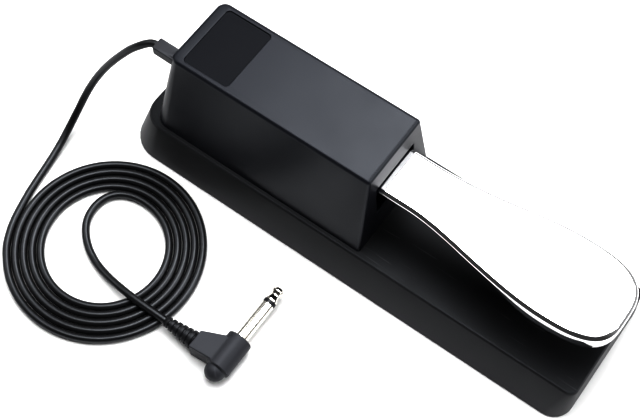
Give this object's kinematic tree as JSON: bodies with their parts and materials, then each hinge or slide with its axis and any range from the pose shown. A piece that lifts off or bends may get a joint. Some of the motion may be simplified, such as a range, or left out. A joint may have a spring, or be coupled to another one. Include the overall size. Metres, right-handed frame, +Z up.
{
  "type": "sustain pedal",
  "caption": "Piano-style sustain foot pedal: chromed lever in a drafted housing on a weighted base, with return spring, switch, coiled lead and right-angle jack plug.",
  "frame": {"origin": "on the floor, in the middle of the pedal's length and width", "axes": "+Z up, +Y towards the end the lead leaves, foot end towards -Y"},
  "size_m": [0.1791, 0.2803, 0.071],
  "materials": {
    "base_plastic": "fine moulded texture",
    "housing_plastic": "fine moulded texture, blue-grey black",
    "label_plastic": "smooth satin, blank",
    "sole_rubber": "matte moulded rubber",
    "zinc_steel": "bright zinc plate",
    "bright_steel": "ground and polished",
    "spring_steel": "drawn wire, satin",
    "pedal_chrome": "mirror chrome plate",
    "arm_paint": "black satin powder coat",
    "nylon": "natural nylon",
    "stop_felt": "dense wool felt",
    "stop_rubber": "matte",
    "switch_plastic": "glass-filled thermoset",
    "plunger_plastic": "red, smooth",
    "contact_brass": "tinned brass",
    "cord_pvc": "satin black vinyl jacket",
    "wire_pvc": "red vinyl",
    "gland_pvc": "soft vinyl, satin",
    "relief_pvc": "soft vinyl, satin",
    "plug_pvc": "soft vinyl, satin grey-black",
    "plug_nickel": "bright nickel plate",
    "plug_insulator": "black acetal"
  },
  "bodies": {
    "frame": {"base_shell": "base_plastic", "bottom_plate": "zinc_steel", "sole_pad": "sole_rubber", "plate_screws": "zinc_steel", "housing_shell": "housing_plastic", "label_plate": "label_plastic", "housing_screws": "zinc_steel", "pivot_bracket": "zinc_steel", "bracket_screws": "zinc_steel", "pivot_pin": "bright_steel", "pin_clip": "spring_steel", "return_spring": "spring_steel", "spring_seat": "nylon", "upper_stop_pad": "stop_felt", "lower_buffer": "stop_rubber", "switch_bracket": "zinc_steel", "switch_bracket_screws": "zinc_steel", "switch_body": "switch_plastic", "switch_terminals": "contact_brass", "switch_screws": "zinc_steel", "switch_nuts": "zinc_steel", "inner_lead": "cord_pvc", "switch_wires": "wire_pvc", "cord_clamp": "nylon", "clamp_screw": "zinc_steel", "cord_gland": "gland_pvc", "cord_run": "cord_pvc", "cord_coil": "cord_pvc", "cord_tail": "cord_pvc", "plug_relief": "relief_pvc", "plug_body": "plug_pvc", "plug_sleeve": "plug_nickel", "plug_ring": "plug_insulator", "plug_tip": "plug_nickel"},
    "pedal": {"pedal_shell": "pedal_chrome", "pedal_arm": "arm_paint", "pivot_bushes": "nylon", "spring_button": "nylon"},
    "switch_leaf": {"switch_lever": "bright_steel"},
    "switch_button": {"switch_plunger": "plunger_plastic"}
  },
  "joints": [
    {"name": "pedal_press", "type": "hinge", "parent": "frame", "child": "pedal", "pos_m": [0, 0.08, 0.046], "axis": [1, 0, 0], "range_deg": [0, 5.5], "stiffness_Nm_per_rad": 8, "springref_deg": -6.88, "deforming": ["return_spring"]},
    {"name": "switch_leaf_hinge", "type": "hinge", "parent": "frame", "child": "switch_leaf", "pos_m": [0, 0.066, 0.0448], "axis": [1, 0, 0], "range_deg": [0, 9.5]},
    {"name": "switch_button_slide", "type": "slide", "parent": "frame", "child": "switch_button", "axis": [0, 0, -1], "range_m": [0, 0.00072]}
  ],
  "couplings": [
    {"joint": "switch_leaf_hinge", "follows": "pedal_press", "ratio": 1.727},
    {"joint": "switch_button_slide", "follows": "pedal_press", "m_per_rad": 0.0075}
  ]
}
